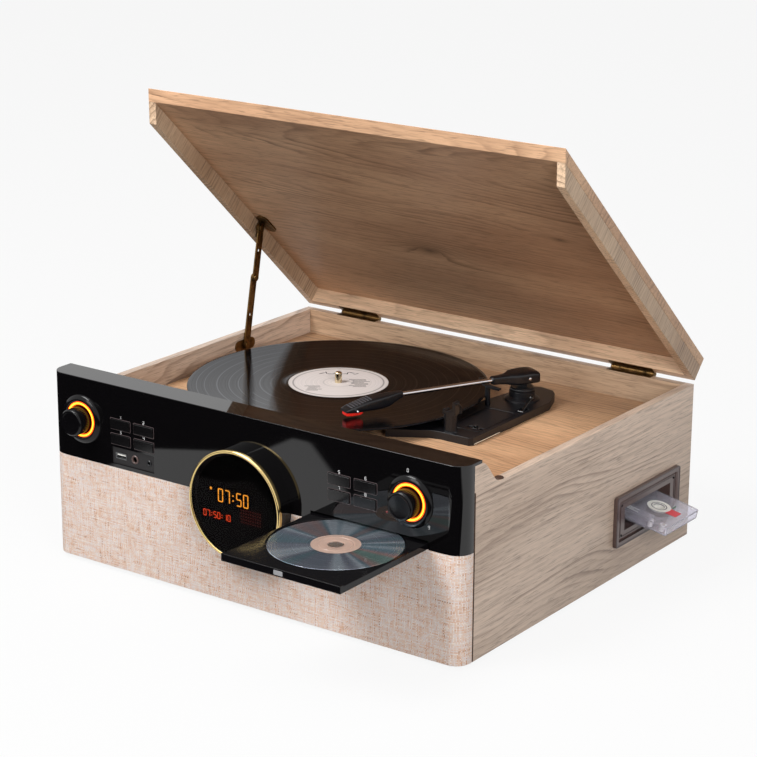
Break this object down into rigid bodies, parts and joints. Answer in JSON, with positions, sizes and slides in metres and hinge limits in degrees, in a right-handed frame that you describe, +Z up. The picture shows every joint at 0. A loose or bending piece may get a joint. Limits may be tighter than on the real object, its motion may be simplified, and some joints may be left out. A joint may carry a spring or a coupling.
{
  "type": "stereo music centre",
  "caption": "Retro wooden table-top music centre with a record player under a hinged lid, a disc tray, a side cassette slot, a round display and a cloth speaker grille.",
  "frame": {"origin": "middle of the cabinet's footprint, on the surface that the feet stand on", "axes": "+X to the right as seen from the front, +Y to the back, +Z up"},
  "size_m": [0.52, 0.5536, 0.4402],
  "materials": {
    "oak": "satin open-grained veneer",
    "dark_board": "plain fibre board",
    "deck": "satin veneer",
    "gloss_black": "piano gloss",
    "black_plastic": "fine texture",
    "button_plastic": "satin",
    "gold_trim": "polished",
    "antique_brass": "aged",
    "lens": "dark tinted",
    "grille": "linen weave",
    "speaker": "matt",
    "circuit": "lacquered board",
    "amber_glow": "lit from behind",
    "steel": "plain sheet",
    "bronze": "satin",
    "rubber": "matt",
    "chrome": "polished",
    "vinyl": "grooved",
    "pulley_brass": "turned",
    "disc_mirror": "rainbow sheen",
    "clear_plastic": "smoky clear",
    "stylus_red": "satin"
  },
  "bodies": {
    "cabinet": {"left_side_panel": "oak", "right_side_panel": "oak", "back_panel": "dark_board", "bottom_panel": "dark_board", "deck_board": "deck", "front_panel": "gloss_black", "speaker_baffle": "dark_board", "grille_cloth": "grille", "speakers": "speaker", "display_housing": "black_plastic", "display_ring": "gold_trim", "display_lens": "lens", "display_module": "circuit", "knob_dishes": "gloss_black", "glow_rings": "amber_glow", "port_plate": "black_plastic", "control_board": "circuit", "power_board": "circuit", "disc_drive_chassis": "steel", "cassette_frame": "bronze", "cassette_chassis": "steel", "rear_socket_plate": "steel", "rubber_feet": "rubber", "lid_bumpers": "rubber", "hinge_lower_leaves": "antique_brass", "stay_wall_plate": "antique_brass", "spindle": "chrome", "platter_motor": "steel", "drive_belt": "rubber", "tonearm_base": "gloss_black", "arm_rest": "black_plastic"},
    "lid": {"lid_board": "oak", "lid_walls": "oak", "hinge_upper_leaves": "antique_brass", "stay_lid_bracket": "antique_brass"},
    "stay_lower": {"stay_lower_arm": "antique_brass"},
    "stay_upper": {"stay_upper_arm": "antique_brass"},
    "platter": {"platter": "black_plastic", "record": "vinyl"},
    "pulley": {"motor_pulley": "pulley_brass"},
    "arm_swing": {"tonearm_post": "black_plastic"},
    "arm_lift": {"tonearm_housing": "black_plastic", "tonearm_tube": "chrome", "headshell": "black_plastic", "stylus": "stylus_red"},
    "cue": {"cue_lever": "black_plastic"},
    "speed": {"speed_switch": "chrome"},
    "tray": {"disc_tray": "black_plastic"},
    "disc": {"compact_disc": "disc_mirror"},
    "cassette": {"cassette": "clear_plastic"},
    "source_knob": {"source_knob": "gloss_black"},
    "volume_knob": {"volume_knob": "gloss_black"},
    "repeat_button": {"repeat_button": "button_plastic"},
    "skip_button": {"skip_button": "button_plastic"},
    "play_button": {"play_button": "button_plastic"},
    "stop_button": {"stop_button": "button_plastic"},
    "band_button": {"band_button": "button_plastic"},
    "eject_button": {"eject_button": "button_plastic"},
    "store_button": {"store_button": "button_plastic"},
    "record_button": {"record_button": "button_plastic"}
  },
  "joints": [
    {"name": "lid_hinge", "type": "hinge", "parent": "cabinet", "child": "lid", "pos_m": [0, 0.20665, 0.1628], "axis": [1, 0, 0], "range_deg": [0, 43]},
    {"name": "stay_wall_pivot", "type": "hinge", "parent": "cabinet", "child": "stay_lower", "pos_m": [-0.2273, 0.081, 0.149], "axis": [1, 0, 0], "range_deg": [-0.5, 98.22]},
    {"name": "stay_lid_pivot", "type": "hinge", "parent": "lid", "child": "stay_upper", "pos_m": [-0.2253, 0.10462, 0.27135], "axis": [1, 0, 0], "range_deg": [-100.98, 0.5]},
    {"name": "platter_spin", "type": "hinge", "parent": "cabinet", "child": "platter", "pos_m": [-0.0625, 0.0225, 0.144], "axis": [0, 0, 1], "continuous": true},
    {"name": "pulley_spin", "type": "hinge", "parent": "cabinet", "child": "pulley", "pos_m": [-0.1375, 0.0225, 0.142], "axis": [0, 0, 1], "continuous": true},
    {"name": "tonearm_swing", "type": "hinge", "parent": "cabinet", "child": "arm_swing", "pos_m": [0.098, 0.111, 0.149], "axis": [0, 0, -1], "range_deg": [-27, 16]},
    {"name": "tonearm_lift", "type": "hinge", "parent": "arm_swing", "child": "arm_lift", "pos_m": [0.098, 0.111, 0.1675], "axis": [-0.891, 0.454, 0], "range_deg": [0, 2.5]},
    {"name": "cue_lever_pivot", "type": "hinge", "parent": "cabinet", "child": "cue", "pos_m": [0.118, 0.079, 0.1418], "axis": [1, 0, 0], "range_deg": [0, 40]},
    {"name": "speed_switch_slide", "type": "slide", "parent": "cabinet", "child": "speed", "axis": [1, 0, 0], "range_m": [-0.004, 0.004]},
    {"name": "disc_tray_slide", "type": "slide", "parent": "cabinet", "child": "tray", "axis": [0, 1, 0], "range_m": [0, 0.127]},
    {"name": "disc_spin", "type": "hinge", "parent": "tray", "child": "disc", "pos_m": [0.1395, -0.252, 0.1116], "axis": [0, 0, 1], "continuous": true},
    {"name": "cassette_slide", "type": "slide", "parent": "cabinet", "child": "cassette", "axis": [-0.9781, 0, 0.2079], "range_m": [0, 0.05]},
    {"name": "source_knob_turn", "type": "hinge", "parent": "cabinet", "child": "source_knob", "pos_m": [-0.199, -0.212, 0.1475], "axis": [0, -1, 0], "continuous": true},
    {"name": "volume_knob_turn", "type": "hinge", "parent": "cabinet", "child": "volume_knob", "pos_m": [0.184, -0.212, 0.1475], "axis": [0, -1, 0], "continuous": true},
    {"name": "repeat_button_press", "type": "slide", "parent": "cabinet", "child": "repeat_button", "axis": [0, 1, 0], "range_m": [0, 0.001], "stiffness_N_per_m": 600, "springref_m": -0.0005},
    {"name": "skip_button_press", "type": "slide", "parent": "cabinet", "child": "skip_button", "axis": [0, 1, 0], "range_m": [0, 0.001], "stiffness_N_per_m": 600, "springref_m": -0.0005},
    {"name": "play_button_press", "type": "slide", "parent": "cabinet", "child": "play_button", "axis": [0, 1, 0], "range_m": [0, 0.001], "stiffness_N_per_m": 600, "springref_m": -0.0005},
    {"name": "stop_button_press", "type": "slide", "parent": "cabinet", "child": "stop_button", "axis": [0, 1, 0], "range_m": [0, 0.001], "stiffness_N_per_m": 600, "springref_m": -0.0005},
    {"name": "band_button_press", "type": "slide", "parent": "cabinet", "child": "band_button", "axis": [0, 1, 0], "range_m": [0, 0.001], "stiffness_N_per_m": 600, "springref_m": -0.0005},
    {"name": "eject_button_press", "type": "slide", "parent": "cabinet", "child": "eject_button", "axis": [0, 1, 0], "range_m": [0, 0.001], "stiffness_N_per_m": 600, "springref_m": -0.0005},
    {"name": "store_button_press", "type": "slide", "parent": "cabinet", "child": "store_button", "axis": [0, 1, 0], "range_m": [0, 0.001], "stiffness_N_per_m": 600, "springref_m": -0.0005},
    {"name": "record_button_press", "type": "slide", "parent": "cabinet", "child": "record_button", "axis": [0, 1, 0], "range_m": [0, 0.001], "stiffness_N_per_m": 600, "springref_m": -0.0005}
  ],
  "couplings": [
    {"joint": "stay_wall_pivot", "follows": "lid_hinge", "ratio": 2.2702},
    {"joint": "stay_lid_pivot", "follows": "lid_hinge", "ratio": -2.3345},
    {"joint": "pulley_spin", "follows": "platter_spin", "ratio": 10}
  ]
}
